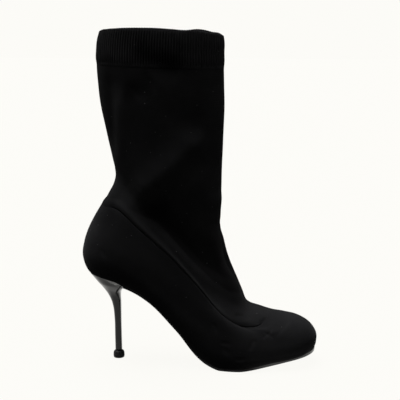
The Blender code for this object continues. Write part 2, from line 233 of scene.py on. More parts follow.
# Loops of the flat pieces, from the middle of the top round the edge to the middle underneath, and for the insole
# the other way round. drawn is the share of the way that a loop is drawn to the middle line.
SOLE_ROWS = table(
    "inset depth drawn",
    (0.9, 0.0, 1.0), (0.9, 0.0, 0.5), (0.9, 0.0, 0.0), (0.4, 0.02, 0.0), (0.08, 0.08, 0.0),
    (0.0, 0.2, 0.0), (0.0, 0.55, 0.0), (0.02, 0.8, 0.0), (0.15, 0.93, 0.0), (0.4, 0.985, 0.0),
    (0.8, 1.0, 0.0), (0.8, 1.0, 0.25), (0.8, 1.0, 0.6), (0.8, 1.0, 1.0),
)
INSOLE_ROWS = table(
    "inset depth drawn",
    (0.0, 1.0, 1.0), (0.0, 1.0, 0.0), (0.0, 0.3, 0.0), (0.25, 0.05, 0.0),
    (0.7, 0.0, 0.0), (0.7, 0.0, 0.3), (0.7, 0.0, 0.65), (0.7, 0.0, 1.0),
)
INSOLE_LEVELS = (0.62, -0.32)

# The sole's edge at the toe: extra margin, height of its lip, and where they and the gloss come in, as shares of
# LENGTH, insets, depths and loops
TOE_MARGIN = 1.2
TOE_MARGIN_X = (0.86, 0.985)
LIP_HEIGHT = 0.7
LIP_X = (0.66, 0.82)
LIP_INSETS = (0.9, 0.3)
LIP_DEPTHS = (0.5, 0.0)
GLOSS_X = (0.70, 0.82)
GLOSS_LOOPS = (3.0, 5.0)

# Soft ridges (amount over 0, in millimetres) and troughs of the knit. side is -1 on the outer side and 1 on the
# inner side. path holds points in side view, x from the middle of the shoe and z over the floor; above and below
# are how far the fold fades out over and under that line.
HOLLOW_LINE = [(-62, 163), (-36, 145), (-14, 126), (10, 103), (42, 79)]
FOLDS = table(
    "name side path above below amount",
    ("diagonal", -1, [(-66, 166), (-44, 178), (-20, 201), (-4, 218), (6, 234)], 15.0, 12.0, 3.3),
    ("under_diagonal", -1, [(-36, 170), (-14, 190), (4, 212)], 8.0, 12.0, -0.6),
    ("back_crease", -1, [(-73, 272), (-74.5, 236), (-76.5, 182)], 5.5, 5.5, 0.8),
    ("back_hollow", -1, [(-81, 290), (-81, 245), (-80, 200)], 5.0, 5.0, -1.0),
    ("high_dent", -1, [(-60, 262), (-40, 280)], 10.0, 10.0, -1.0),
    ("cuff_dent", -1, [(-62, 309), (-38, 296), (-12, 282)], 9.0, 9.0, -0.9),
    ("ankle_hollow", -1, HOLLOW_LINE, 23.0, 7.0, -5.4),
    ("front_hollow", -1, [(8, 240), (12, 200), (14, 160), (18, 125)], 7.0, 7.0, -0.9),
    ("inner_diagonal", 1, [(-58, 180), (-30, 196), (6, 224)], 14.0, 8.0, 1.7),
    ("inner_under", 1, [(-40, 172), (-10, 196)], 8.0, 11.0, -1.1),
    ("inner_crease", 1, [(-74, 290), (-76, 240), (-76, 190)], 5.0, 5.0, 0.8),
    ("inner_high_dent", 1, [(-50, 250), (-24, 268)], 11.0, 11.0, -0.9),
    ("inner_hollow", 1, HOLLOW_LINE, 20.0, 7.0, -2.4),
)

# Painted light (amount over 0) and painted shade on stretches of the cloth, with a few darker patches of the cuff's
# knit, placed as the folds are
SEAM_LINE = [(-72, 160), (-54, 151.5), (-38, 144.5), (-24, 130), (-9, 114), (4.5, 100), (16, 88), (30, 77), (60, 61)]
PAINTED_LIGHT_AND_SHADE = table(
    "name side path above below amount",
    ("ankle", -1, SEAM_LINE, 21.0, 1.3, -1.5),
    ("inner_ankle", 1, [(-72, 160), (-38, 144), (-9, 114), (26, 85), (60, 66)], 20.0, 3.0, -0.7),
    ("ridge", -1, [(-84, 156), (-44, 181), (-20, 204), (-4, 221), (16, 246)], 8.0, 6.0, 0.8),
    ("back_crease", -1, [(-73, 280), (-74.5, 236), (-77, 166)], 5.5, 5.5, 0.9),
    ("quarter", -1, [(-84, 130), (-50, 112), (-10, 74)], 14.0, 14.0, 0.55),
    ("under_ridge", -1, [(-80, 166), (-42, 172), (18, 202)], 13.0, 12.0, 0.8),
    ("counter", -1, [(-120, 156), (-74, 148)], 13.0, 13.0, -1.2),
    ("leg_front", -1, [(14, 304), (17, 220), (18, 140)], 9.0, 9.0, 0.45),
    ("waist", 0, [(-84, 80), (-40, 60), (-6, 30), (20, 4)], 8.0, 8.0, -0.6),
    ("toe", 0, [(114, 16), (108, 60)], 12.0, 12.0, -1.1),
    ("toe_edge", -1, [(40, 6), (80, 11), (124, 22)], 5.0, 5.0, 0.9),
    ("cuff_patch", -1, [(-64, 301), (-8, 293)], 9.0, 7.0, -1.5),
    ("cuff_right", -1, [(6, 336), (12, 276)], 11.0, 11.0, 1.0),
    ("cuff_back", -1, [(-86, 302), (-76, 291)], 4.0, 4.0, -0.6),
    ("cuff_high", -1, [(-20, 317), (-12, 303)], 4.0, 4.0, -0.6),
    ("cuff_front", -1, [(-4, 310), (12, 307)], 4.0, 4.0, -0.5),
    ("back_edge", -1, [(-90, 318), (-88, 270), (-82, 214)], 8.0, 8.0, -0.4),
    ("high_patch", -1, [(-72, 268), (-38, 268)], 8.0, 8.0, -0.8),
    ("leg_top", -1, [(-54, 287), (-14, 287)], 5.0, 5.0, -0.6),
)

# Scuffs and small dents of the cloth: strokes in side view, half width, depth, and how much lighter they are
MARKS = table(
    "side path reach depth share",
    (-1, [(64.3, 33.0), (70.8, 38.0)], 1.3, 0.40, 0.8),
    (-1, [(65.2, 37.0), (71.9, 33.0)], 1.3, 0.35, 0.6),
    (-1, [(54.8, 30.2), (51.1, 23.7)], 1.5, 0.60, 1.0),
    (-1, [(25.3, 29.6), (31.1, 28.8)], 1.4, 0.60, 1.2),
    (-1, [(26.4, 24.0), (29.7, 20.1)], 1.5, 0.60, 1.2),
    (-1, [(39.4, 13.4), (45.3, 13.6)], 1.5, 0.60, 1.2),
    (-1, [(17.5, 46.7), (19.0, 41.1)], 1.5, 0.60, 1.2),
    (-1, [(77.6, 34.9), (87.0, 43.0)], 1.8, 0.25, 0.6),
    (-1, [(37.3, 54.0), (43.1, 53.1)], 1.4, 0.35, -0.8),
    (-1, [(60.4, 45.4), (63.7, 46.9)], 1.4, 0.35, -0.8),
    (-1, [(-58.0, 181.0), (-54.0, 176.0)], 1.8, 0.40, 0.9),
    (-1, [(-39.0, 180.0), (-36.0, 178.0)], 1.8, 0.40, -0.9),
    (-1, [(-29.0, 171.0), (-26.0, 168.0)], 1.6, 0.40, 0.9),
    (-1, [(-98.0, 134.0), (-96.0, 129.0)], 2.5, -0.20, 0.6),
    (-1, [(-91.0, 114.0), (-88.0, 110.0)], 2.0, 0.30, 0.6),
    (1, [(50.0, 42.0), (55.0, 37.0)], 1.6, 0.35, 0.8),
    (1, [(-88.0, 120.0), (-84.0, 115.0)], 2.0, 0.30, 0.6),
)

# Strokes end softly over this share of their path, and where y times their side goes from the first value to the second
STROKE_END = 0.22
FOLD_FACING = (-2.0, 6.0)
PAINTED_SHADE_FACING = (-3.0, 2.0)
MARK_FACING = (-2.0, 4.0)
SLACK_HEIGHT = 0.16

# Swells of the shin: heights over the floor where each starts, is full, eases off and ends, and how far it stands out
SHIN_SWELLS = table(
    "edges amount",
    ((54.0, 74.0, 122.0, 134.0), 1.2), ((138.0, 146.0, 160.0, 172.0), 0.9),
)
SHIN_PLACES = (0.84, 0.97)
SHIN_LEVELS = (6.0, 14.0)

# Along the seam: places along the section where the cover's edge is hidden, in front and behind, where the groove and
# roll are, and where the groove is shallower; then levels over the seam, some with their change where the edge is
# hidden or at the back
HIDDEN_FRONT = (0.935, 0.985)
HIDDEN_BACK = (0.09, 0.05)
FLUSH_BACK = (0.12, 0.0)
SEAM_SIDES = (0.04, 0.13, 0.92, 0.975)
SHALLOW_PLACES = (0.60, 0.80)
SHALLOW_SHARE = 0.4
FLUSH_START = (-0.4, -2.2)
FLUSH_FULL = (0.8, -1.6)
FLUSH_HEIGHT = (SHELL_OUTSIDE, 0.07)
FLUSH_END = (18.0, -8.0)
FLUSH_FADE = (7.0, -5.0)
FOLD_LEVELS = (0.0, 9.0)
GROOVE_LEVEL, GROOVE_REACH = 0.1, 0.8
ROLL_LEVEL, ROLL_REACH = 5.5, 4.0
PINCH_REACH = 5.0
THROAT_LIGHT = 0.3
THROAT_PLACES = (0.80, 0.95)
THROAT_LEVELS = (22.0, 4.0)

# The cover's lower wall is fuller at the tip of the toe and along ball and toe, and tucked in under the heel's rim
TIP_FULLNESS = 0.8
TIP_PLACES = (0.93, 0.99)
TIP_LEVELS = (14.0, 3.0)
BALL_PLACES = (0.62, 0.78)
TOE_FULLNESS = 0.9
TOE_PLACES = (0.78, 0.90)
WALL_FRONT = (0.985, 0.94)
WALL_LEVELS = (0.0, 2.5, 5.0, 14.0)
TUCK_DEPTH = 0.85
TUCK_PLACES = (0.135, 0.125)
TUCK_LEVELS = (5.0, 1.0)

# Light and floor. Inside a soft ellipse of the floor its glow differs: dimmer in reflections under the arch, a painted
# shadow of the boot that only reflections show, and brighter before the toe, where its glow lights the toe from below.
# Lengths here are in metres.
SUNS = table(
    "name toward strength spread_deg",
    ("key_light", (-0.18, 0.05, 1.0), "key_strength", 44.0),
    ("left_light", (-1.0, -0.15, 0.35), "left_strength", 60.0),
    ("right_light", (1.0, -0.15, 0.08), "right_strength", 60.0),
)
SHADE, BOUNCE = table(
    "middle reach inside outside",
    ((-0.03, 0.0), (0.055, 0.025), 0.25, 0.95),
    ((0.11, -0.03), (0.06, 0.06), 0.45, 0.05),
)
PATCH_EDGE = (0.7, 1.2)
FLOOR_HALF_SIDE = 6.0
FLOOR_DROP = 0.0002
FLOOR_COLOUR = (0.015, 0.015, 0.0145, 1.0)
FLOOR_SEEN = 0.975
ROOM_SEEN = 1.0

LengthProperty = partial(bpy.props.FloatProperty, unit="LENGTH", subtype="DISTANCE", precision=5)
ColourProperty = partial(bpy.props.FloatVectorProperty, subtype="COLOR")
PlaceProperty = partial(bpy.props.FloatVectorProperty, subtype="XYZ")


class BootSizes(bpy.types.PropertyGroup):
    """Sizes of the details that the form's tables don't hold."""

    rib_count: bpy.props.IntProperty(name="Ribs", description="Ribs round the cuff", default=114, min=20)
    rib_depth: LengthProperty(name="Rib depth", description="Depth of the grooves between ribs", default=0.0011)
    wale_count: bpy.props.IntProperty(name="Wales", description="Stitch columns round the sock", default=190, min=20)
    course_pitch: LengthProperty(name="Course pitch", description="Height of one row of stitches", default=0.0013)
    seam_groove: LengthProperty(
        name="Seam groove", description="How far the sock is drawn in along the cover's top edge", default=0.0009
    )
    seam_roll: LengthProperty(
        name="Seam roll", description="How far the sock swells over the cover's top edge", default=0.0008
    )
    cuff_pinch: LengthProperty(
        name="Cuff pinch", description="How far the knit is drawn in under the cuff", default=0.00005
    )
    fold_strength: bpy.props.FloatProperty(
        name="Folds", description="Share of the full height of the folds", default=1.0, min=0.0, max=2.0
    )


class BootColours(bpy.types.PropertyGroup):
    """Colours of the pieces and of the floor."""

    # The cloth's colours come in pairs: the dark one is painted shade in the grooves of stitches and ribs and on shaded
    # stretches, the light one painted light on their crowns and on lit stretches
    knit_dark: ColourProperty(
        name="Knit, between stitches", description="Colour in the grooves of the knit", default=(0.0044, 0.0044, 0.0046)
    )
    knit_light: ColourProperty(
        name="Knit, on stitches", description="Colour on the crowns of the knit", default=(0.0142, 0.0142, 0.0148)
    )
    rib_dark: ColourProperty(
        name="Ribs, grooves", description="Colour between the ribs of the cuff", default=(0.0016, 0.0016, 0.0018)
    )
    rib_light: ColourProperty(
        name="Ribs, crowns", description="Colour on the ribs of the cuff", default=(0.0168, 0.0168, 0.0175)
    )
    lint: ColourProperty(name="Lint", description="Colour of the few specks of lint", default=(0.09, 0.09, 0.088))
    cover_dark: ColourProperty(
        name="Cover, dark", description="Colour in the grooves of the foot cover", default=(0.0068, 0.0068, 0.0072)
    )
    cover_light: ColourProperty(
        name="Cover, light", description="Colour on the nap of the foot cover", default=(0.0132, 0.0132, 0.0138)
    )
    heel: ColourProperty(name="Heel", description="Colour of the heel", default=(0.006, 0.006, 0.0065))
    heel_worn: ColourProperty(
        name="Heel, worn", description="Colour where the heel's gloss is rubbed", default=(0.014, 0.014, 0.015)
    )
    sole: ColourProperty(name="Sole", description="Colour of the sole", default=(0.008, 0.008, 0.0085))
    sole_worn: ColourProperty(
        name="Sole, worn", description="Colour where the sole is rubbed", default=(0.030, 0.030, 0.031)
    )
    insole: ColourProperty(name="Insole", description="Colour of the insole's leather", default=(0.022, 0.021, 0.020))
    insole_worn: ColourProperty(
        name="Insole, worn", description="Colour where the insole's grain is rubbed", default=(0.040, 0.038, 0.036)
    )
    backdrop: ColourProperty(
        name="Backdrop", description="Colour of the floor and of the room behind it", default=(0.973, 0.965, 0.930)
    )


class BootStage(bpy.types.PropertyGroup):
    """Light and camera."""

    key_strength: bpy.props.FloatProperty(
        name="Key light", description="Strength of the soft light from above", default=6.3
    )
    left_strength: bpy.props.FloatProperty(
        name="Left light", description="Strength of the soft light from behind the heel", default=0.3
    )
    right_strength: bpy.props.FloatProperty(
        name="Right light", description="Strength of the soft light from before the toe", default=0.5
    )
    ambient: bpy.props.FloatProperty(name="Ambient", description="Strength of the room's own light", default=0.04)
    mirrored: bpy.props.FloatProperty(
        name="Mirrored room", description="Strength of the pale room in glossy reflections", default=0.28
    )
    lens: bpy.props.FloatProperty(name="Lens", description="Focal length in millimetres", default=94.8, unit="CAMERA")
    camera_place: PlaceProperty(name="Camera", description="Where the camera stands", default=(0.0876, -0.9962, 0.345))
    camera_aim: PlaceProperty(name="Aim", description="Point the camera looks at", default=(0.00045, 0.0, 0.1605))


def smooth(knots, values, at):
    """Cubic through the values at the knots, with the slope at each knot taken from its two neighbours."""
    knots = np.asarray(knots, float)
    values = np.asarray(values, float)
    at = np.asarray(at, float)
    step = np.diff(knots)
    slope = np.diff(values, axis=0) / (step[:, None] if values.ndim > 1 else step)
    tangent = np.empty_like(values)
    tangent[0] = slope[0]
    tangent[-1] = slope[-1]
    share = step[:-1] / (step[:-1] + step[1:])
    share = share[:, None] if values.ndim > 1 else share
    tangent[1:-1] = slope[:-1] * (1 - share) + slope[1:] * share
    i = np.clip(np.searchsorted(knots, at, side="right") - 1, 0, len(step) - 1)
    t = (at - knots[i]) / step[i]
    span = step[i]
    if values.ndim > 1:
        t = t[..., None]
        span = span[..., None]
    return (
        values[i] * (2 * t**3 - 3 * t**2 + 1)
        + tangent[i] * span * (t**3 - 2 * t**2 + t)
        + values[i + 1] * (3 * t**2 - 2 * t**3)
        + tangent[i + 1] * span * (t**3 - t**2)
    )


def ease(low, high, at):
    """Soft step from 0 at low to 1 at high."""
    t = np.clip((at - low) / (high - low), 0, 1)
    return t * t * (3 - 2 * t)


def band(edges, at):
    """1 between the second and the third of four edges, with a soft step down to 0 at the first and the last."""
    return ease(edges[0], edges[1], at) * ease(edges[3], edges[2], at)


def bell(at, middle, reach):
    """Soft bump: 1 in the middle, fading out to both sides."""
    return np.exp(-(((at - middle) / reach) ** 2))


def shifted(pair, share):
    """First value of a pair, with a share of the second added."""
    return pair[0] + pair[1] * share


def along(share):
    """x of a share of the length, with the middle of the shoe at x = 0."""
    return (share - 0.5) * LENGTH


def place_of(turn):
    """Share of the way from the back of a section to its front."""
    return (1 - np.cos(2 * math.pi * turn)) / 2


def bottom_height(x):
    """Height of the knit's bottom edge over the floor."""
    return smooth([along(p.x) for p in BOTTOM_LINE], [p.height for p in BOTTOM_LINE], x)


def edge_rise(edge, place):
    return smooth([p.place for p in edge], [p.rise for p in edge], place)


def swing(x):
    return smooth([along(p.x) for p in SWING], [p.offset for p in SWING], x)


def section_rows():
    """One row of sizes per section, in millimetres, and the knots that the rows are blended over."""
    rows = []
    for number, part in enumerate(SECTIONS):
        if number <= TOPLINE:
            back_z = SEAT_HEIGHT + part.back_rise * COUNTER_RISE
            front_z = TOE_HEIGHT + part.front_rise * THROAT_RISE
            shares = [part.follow, 1.0 - part.follow]
        else:
            back_z = SEAT_HEIGHT + COUNTER_RISE + part.back_rise * LEG_BACK_RISE
            front_z = TOE_HEIGHT + THROAT_RISE + part.front_rise * LEG_FRONT_RISE
            shares = [0.0, part.follow]
        widths = [part.heel_round, part.heel, part.waist, part.ball, part.toe, part.toe_round]
        widths = [share * BALL_WIDTH / 2 for share in widths]
        rows.append([along(part.back_x), back_z, along(part.front_x), front_z, *widths, *shares])
    rows = np.array(rows)
    steps = np.diff(rows[:, :4], axis=0)
    steps = np.hypot(steps[:, 0], steps[:, 1]) + np.hypot(steps[:, 2], steps[:, 3])
    return np.concatenate([[0.0], np.cumsum(steps / 2)]), rows


KNOTS, ROWS = section_rows()


def surface(level, turn):
    """Points of the knit's outer face. level runs from the feather edge up to the collar, turn from 0 at the
    back over the outer side to 0.5 at the front and over the inner side to 1."""
    level, turn = np.broadcast_arrays(np.asarray(level, float), np.asarray(turn, float))
    row = smooth(KNOTS, ROWS, level)
    back_x, back_z, front_x, front_z = (row[..., i] for i in range(4))
    sole_share, top_share = row[..., 10], row[..., 11]
    angle = 2 * math.pi * turn
    place = place_of(turn)
    x = back_x + place * (front_x - back_x)
    feather_x = ROWS[0, 0] + place * (ROWS[0, 2] - ROWS[0, 0])
    feather_z = ROWS[0, 1] + place * (ROWS[0, 3] - ROWS[0, 1])
    z = back_z + place * (front_z - back_z)
    z = z + sole_share * (bottom_height(feather_x) - feather_z) + top_share * edge_rise(TOPLINE_EDGE, place)
    cuff_share = np.clip((level - KNOTS[CUFF]) / (KNOTS[COLLAR] - KNOTS[CUFF]), 0, 1)
    z = z + cuff_share * edge_rise(COLLAR_EDGE, place)
    fullness = fullness_at(row, place)
    in_foot = np.clip(1 - (level - KNOTS[TOPLINE]) / (KNOTS[CUFF] - KNOTS[TOPLINE]), 0, 1)
    y = swing(x) * in_foot - fullness * np.sin(angle)
    return np.stack([x, y, z], axis=-1)


def fullness_at(row, place):
    """Half width over the sine of the angle round the section, blended between the six width columns."""
    reach = np.hypot(row[..., 2] - row[..., 0], row[..., 3] - row[..., 1])
    columns = []
    for column, spot in enumerate(WIDTH_PLACES):
        size = row[..., 4 + column]
        if spot in (0.0, 1.0):
            columns.append(np.sqrt(size * reach / 2))
        else:
            columns.append(size / (2 * math.sqrt(spot * (1 - spot))))
    shares = smooth(WIDTH_PLACES, np.eye(len(WIDTH_PLACES)), place)
    return (np.stack(columns, axis=-1) * shares).sum(axis=-1)


def normals(level, turn):
    """Outward unit normals of the knit's outer face."""
    step_level, step_turn = 0.2, 0.0005
    across = surface(level, turn + step_turn) - surface(level, turn - step_turn)
    low = np.clip(level - step_level, 0, KNOTS[COLLAR])
    high = np.clip(level + step_level, 0, KNOTS[COLLAR])
    up = surface(high, turn) - surface(low, turn)
    normal = np.cross(across, up)
    return normal / np.linalg.norm(normal, axis=-1, keepdims=True)


def stand_off(level, turn, height):
    """Points that stand off the knit's outer face by a height."""
    return surface(level, turn) + normals(level, turn) * height[:, None]


def arc_map():
    """Turns round the leg and the share of its girth passed at each, for even stitch and rib widths."""
    turns = np.linspace(0, 1, ARC_STEPS + 1)
    loop = surface(np.full(len(turns), KNOTS[CUFF]), turns)
    steps = np.linalg.norm(np.diff(loop, axis=0), axis=1)
    girth = np.concatenate([[0.0], np.cumsum(steps)])
    return turns, girth / girth[-1]


ARC_TURNS, ARC_SHARES = arc_map()


def path_distance(path, x, z):
    """Signed distance of points to a path in side view, over the path positive, and the share along it."""
    best = np.full(x.shape, np.inf)
    side = np.ones(x.shape)
    share = np.zeros(x.shape)
    ends = np.array(path, float)
    lengths = np.linalg.norm(np.diff(ends, axis=0), axis=1)
    passed = 0.0
    for start, end, length in zip(ends[:-1], ends[1:], lengths):
        way = (end - start) / length
        t = np.clip((x - start[0]) * way[0] + (z - start[1]) * way[1], 0, length)
        gap_x = x - start[0] - t * way[0]
        gap_z = z - start[1] - t * way[1]
        gap = np.hypot(gap_x, gap_z)
        nearer = gap < best
        best = np.where(nearer, gap, best)
        side = np.where(nearer, np.sign(way[0] * gap_z - way[1] * gap_x), side)
        share = np.where(nearer, (passed + t) / lengths.sum(), share)
        passed += length
    return best * side, share


def stroke(part, points, facing):
    """Amount of a fold, or of a stretch of painted light and shade, at points of the cloth."""
    x, y, z = points[..., 0], points[..., 1], points[..., 2]
    gap, share = path_distance(part.path, x, z)
    fade = np.where(gap > 0, part.above, part.below)
    ends = ease(0.0, STROKE_END, share) * ease(0.0, STROKE_END, 1 - share)
    return part.amount * bell(gap, 0.0, fade) * ends * ease(*facing, y * part.side)


def fold_relief(points):
    """Height of the folds at points of the knit, with a slight slackness all over."""
    x, z = points[..., 0], points[..., 2]
    slack = SLACK_HEIGHT * np.sin(x / 9.0 + z / 15.0) * np.sin(z / 11.0 - x / 21.0)
    return sum(stroke(fold, points, FOLD_FACING) for fold in FOLDS) + slack


def knit_relief(level, turn, sizes):
    """How far the knit stands off its plain form: folds, the roll and groove along the seam, the cuff's pinch."""
    points, place = surface(level, turn), place_of(turn)
    over_seam = level - KNOTS[TOPLINE]
    hidden = np.maximum(ease(*HIDDEN_FRONT, place), ease(*HIDDEN_BACK, place))
    back = ease(*FLUSH_BACK, place)
    sides = band(SEAM_SIDES, place)
    flush = shifted(FLUSH_HEIGHT, hidden) * ease(shifted(FLUSH_START, hidden), shifted(FLUSH_FULL, hidden), over_seam)
    flush = flush * ease(shifted(FLUSH_END, back), shifted(FLUSH_FADE, back), over_seam)
    groove = -sizes.seam_groove / MM * bell(over_seam, GROOVE_LEVEL, GROOVE_REACH)
    groove = groove * sides * (1 - SHALLOW_SHARE * ease(*SHALLOW_PLACES, place))
    roll = sizes.seam_roll / MM * bell(over_seam, ROLL_LEVEL, ROLL_REACH) * sides
    pinch = -sizes.cuff_pinch / MM * bell(level, KNOTS[CUFF], PINCH_REACH)
    shin = sum(swell.amount * band(swell.edges, points[..., 2]) for swell in SHIN_SWELLS)
    shin = shin * ease(*SHIN_PLACES, place) * ease(*SHIN_LEVELS, over_seam)
    folds = ease(*FOLD_LEVELS, over_seam) * sizes.fold_strength * fold_relief(points)
    return folds + flush + groove + roll + pinch + shin + mark_relief(points)[0]


def mark_relief(points):
    """Depth of the cloth's small dents, and a mask of its scuffs."""
    x, y, z = points[..., 0], points[..., 1], points[..., 2]
    relief, mask = np.zeros(x.shape), np.zeros(x.shape)
    for mark in MARKS:
        gap = path_distance(mark.path, x, z)[0]
        here = bell(gap, 0.0, mark.reach) * ease(*MARK_FACING, y * mark.side)
        relief -= mark.depth * here
        mask += mark.share * here
    return relief, mask


def tone(points):
    """Painted light and shade of the cloth, lighter or darker by stretches, with its scuffs."""
    shade = mark_relief(points)[1]
    for part in PAINTED_LIGHT_AND_SHADE:
        shade = shade + stroke(part, points, PAINTED_SHADE_FACING)
    return shade


def mapped_grid(name, columns, rows, place, stitches=None, mask=None):
    """Closed piece with its faces outwards, from a grid. place() gives the points of column shares and row numbers,
    in millimetres, stitches() the UV of each, and mask() a value that its material reads."""
    bm = bmesh.new()
    bmesh.ops.create_grid(bm, x_segments=columns, y_segments=rows, size=0.5)
    bm.verts.ensure_lookup_table()
    bm.verts.index_update()
    spots = np.array([vert.co[:2] for vert in bm.verts]) + 0.5
    share = np.round(spots[:, 0] * columns) / columns
    row = np.round(spots[:, 1] * rows).astype(int)
    for vert, point in zip(bm.verts, place(share, row) * MM):
        vert.co = point
    if stitches is not None:
        layer = bm.loops.layers.uv.new("stitches")
        coords = stitches(share, row)
        for face in bm.faces:
            for loop in face.loops:
                loop[layer].uv = coords[loop.vert.index]
    if mask is not None:
        layer = bm.verts.layers.float.new("mask")
        for vert, value in zip(bm.verts, mask(share, row)):
            vert[layer] = value
    return closed_piece(name, bm)


def closed_piece(name, bm):
    """Object from a bmesh, with its seams and poles closed and its faces outwards."""
    bmesh.ops.remove_doubles(bm, verts=bm.verts, dist=MERGE_DISTANCE)
    gaps = [edge for edge in bm.edges if edge.is_boundary]
    if gaps:
        bmesh.ops.holes_fill(bm, edges=gaps, sides=0)
    bmesh.ops.recalc_face_normals(bm, faces=bm.faces)
    mesh = bpy.data.meshes.new(name)
    bm.to_mesh(mesh)
    bm.free()
    mesh.shade_smooth()
    obj = bpy.data.objects.new(name, mesh)
    bpy.context.scene.collection.objects.link(obj)
    return obj


def put_on(obj, node, material):
    """Gives a piece its material and its body, and hides the solid that it stands for."""
    obj.data.materials.append(material)
    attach(obj, "root")
    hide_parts(node)


def add_node(tree, kind, inputs=(), **settings):
    """New node with its settings and inputs."""
    node = tree.nodes.new(kind)
    for key, value in settings.items():
        setattr(node, key, value)
    feed(tree, node, inputs)
    return node


def feed(tree, node, inputs):
    """Gives inputs of a node a constant, another node's socket or, by its name, a layer of the piece's mesh."""
    for key, value in dict(inputs).items():
        if value == "stitches":
            value = add_node(tree, "ShaderNodeUVMap", uv_map=value).outputs["UV"]
        elif value == "mask":
            value = add_node(tree, "ShaderNodeAttribute", attribute_name=value).outputs["Fac"]
        if isinstance(value, bpy.types.NodeSocket):
            tree.links.new(value, node.inputs[key])
        else:
            node.inputs[key].default_value = value


def math_node(tree, operation, *values):
    return add_node(tree, "ShaderNodeMath", enumerate(values), operation=operation).outputs[0]


def mix_colour(tree, share, first, second):
    """Colour that goes from first to second as share goes from 0 to 1."""
    inputs = {"Factor": share, 6: first, 7: second}
    return add_node(tree, "ShaderNodeMix", inputs, data_type="RGBA", clamp_factor=True).outputs[2]


def noise(tree, position, scale, detail):
    inputs = {"Vector": position, "Scale": scale, "Detail": detail}
    return add_node(tree, "ShaderNodeTexNoise", inputs).outputs["Fac"]


def map_range(tree, value, source, target):
    """Value that goes over the target range, its two ends, as the given one goes over the source range."""
    inputs = {"Value": value, "From Min": source[0], "From Max": source[1], "To Min": target[0], "To Max": target[1]}
    return add_node(tree, "ShaderNodeMapRange", inputs).outputs[0]


def look_group(build, **sockets):
    """Shader node group of a look, made on first use. sockets names its inputs by their kind; build() takes its tree
    and inputs and gives the colour, the roughness and the height."""
    name = build.__name__
    if name in bpy.data.node_groups:
        return bpy.data.node_groups[name]
    tree = bpy.data.node_groups.new(name, "ShaderNodeTree")
    for kind, labels in sockets.items():
        for label in labels.split():
            tree.interface.new_socket(label, in_out="INPUT", socket_type=f"NodeSocket{kind}")
    for label, kind in (("Color", "Color"), ("Roughness", "Float"), ("Height", "Float")):
        tree.interface.new_socket(label, in_out="OUTPUT", socket_type=f"NodeSocket{kind}")
    given = tree.nodes.new("NodeGroupInput").outputs
    made = tree.nodes.new("NodeGroupOutput").inputs
    for socket, value in zip(made, build(tree, given)):
        tree.links.new(value, socket)
    return tree


def knit_look(tree, given):
    """Rows of small V stitches with soft patches and fibres, from UV that count stitches; the colour is painted darker
    in the grooves between stitches and takes the piece's painted light and shade.
    """
    calc, position = partial(math_node, tree), given["Position"]
    split = add_node(tree, "ShaderNodeSeparateXYZ", {0: given["Stitches"]}).outputs
    bend = calc("MULTIPLY", calc("SUBTRACT", noise(tree, position, 160.0, 1.0), 0.5), 0.9)
    across = calc("FRACT", calc("ADD", split["X"], bend))
    off_middle = calc("ABSOLUTE", calc("SUBTRACT", across, 0.5))
    rise = calc("SUBTRACT", split["Y"], off_middle)
    loop = calc("COSINE", calc("MULTIPLY", rise, 2 * math.pi))
    loop = calc("ADD", calc("MULTIPLY", loop, 0.5), 0.5)
    leg = calc("SUBTRACT", calc("MULTIPLY", off_middle, 4.0), 1.0)
    leg = calc("SUBTRACT", 1.0, calc("MULTIPLY", leg, leg))
    fibre = noise(tree, position, 2600.0, 2.0)
    stitch = calc("MULTIPLY", calc("ADD", loop, leg), 0.4)
    height = calc("ADD", stitch, calc("MULTIPLY", fibre, 0.2))
    patch = noise(tree, position, 34.0, 3.0)
    # Painted shade: darker where the stitches are low, with random patches, then scuffs and the piece's painted light
    # and shade
    shade = calc("MULTIPLY_ADD", height, 0.6, calc("MULTIPLY_ADD", patch, 0.9, -0.2))
    shade = calc("MULTIPLY_ADD", given["Scuff"], 0.5, shade)
    cell = add_node(tree, "ShaderNodeTexVoronoi", {"Vector": position, "Scale": 210.0}).outputs
    speck = map_range(tree, cell["Distance"], (0.05, 0.09), (1.0, 0.0))
    kept = add_node(tree, "ShaderNodeSeparateColor", {0: cell["Color"]}).outputs[0]
    speck = calc("MULTIPLY", speck, calc("GREATER_THAN", kept, 0.8))
    cloth = mix_colour(tree, shade, given["Dark"], given["Light"])
    rough = calc("ADD", calc("MULTIPLY", patch, -0.2), 0.95)
    return mix_colour(tree, speck, cloth, given["Lint"]), rough, height


def moulded_look(tree, given):
    """Moulded or turned surface: faint long waves, rubbed patches and fine scratches."""
    calc, position = partial(math_node, tree), given["Position"]
    patch = noise(tree, position, 90.0, 4.0)
    worn = map_range(tree, patch, (0.45, 0.75), (0.0, 1.0))
    stretched = add_node(tree, "ShaderNodeMapping", {"Vector": position, "Scale": (1.0, 1.0, 0.06)}).outputs[0]
    scratch = noise(tree, stretched, 1800.0, 2.0)
    span = calc("MULTIPLY", worn, calc("SUBTRACT", given["Rubbed"], given["Smooth"]))
    rough = calc("ADD", calc("ADD", given["Smooth"], span), calc("MULTIPLY", scratch, 0.04))
    height = calc("MULTIPLY_ADD", patch, 0.6, calc("MULTIPLY", scratch, 0.4))
    return mix_colour(tree, worn, given["Fresh"], given["Worn"]), rough, height


def leather_look(tree, given):
    """Fine leather grain with rubbed crowns."""
    calc, position = partial(math_node, tree), given["Position"]
    cells = {"Vector": position, "Scale": 900.0}
    grain = add_node(tree, "ShaderNodeTexVoronoi", cells, feature="SMOOTH_F1").outputs["Distance"]
    patch = noise(tree, position, 60.0, 4.0)
    rough = calc("ADD", calc("MULTIPLY", patch, 0.3), 0.45)
    return mix_colour(tree, calc("MULTIPLY", patch, grain), given["Fresh"], given["Worn"]), rough, grain


